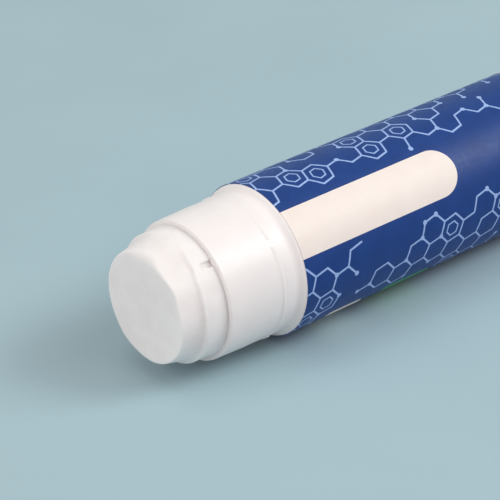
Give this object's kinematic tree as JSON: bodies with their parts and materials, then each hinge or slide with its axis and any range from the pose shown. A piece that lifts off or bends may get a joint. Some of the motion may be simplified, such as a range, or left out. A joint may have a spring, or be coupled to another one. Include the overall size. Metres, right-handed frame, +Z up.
{
  "type": "glue stick",
  "caption": "Twist-up glue stick with its cap off: turning the ribbed knob drives a screw that feeds the worn glue out of the barrel's neck.",
  "frame": {"origin": "middle of the stick's footprint on the table it lies on", "axes": "+X along the stick, from the glue end to the twist knob; +Z up from the table"},
  "size_m": [0.0938, 0.025, 0.025],
  "materials": {
    "white_plastic": "satin moulded polypropylene",
    "printed_film": "glossy printed film, pale line pattern on navy",
    "glue": "waxy, slightly translucent solid glue",
    "inner_plastic": "natural moulded polypropylene"
  },
  "bodies": {
    "barrel": {"barrel": "white_plastic", "label": "printed_film"},
    "knob": {"twist_knob": "white_plastic", "feed_screw": "inner_plastic"},
    "carriage": {"carrier": "inner_plastic", "glue": "glue"}
  },
  "joints": [
    {"name": "knob_turn", "type": "hinge", "parent": "barrel", "child": "knob", "pos_m": [0, 0, 0.0125], "axis": [-1, 0, 0], "range_deg": [-756, 4500]},
    {"name": "carriage_feed", "type": "slide", "parent": "barrel", "child": "carriage", "axis": [-1, 0, 0], "range_m": [-0.0084, 0.05]}
  ],
  "couplings": [
    {"joint": "knob_turn", "follows": "carriage_feed", "rad_per_m": 1570.8}
  ]
}
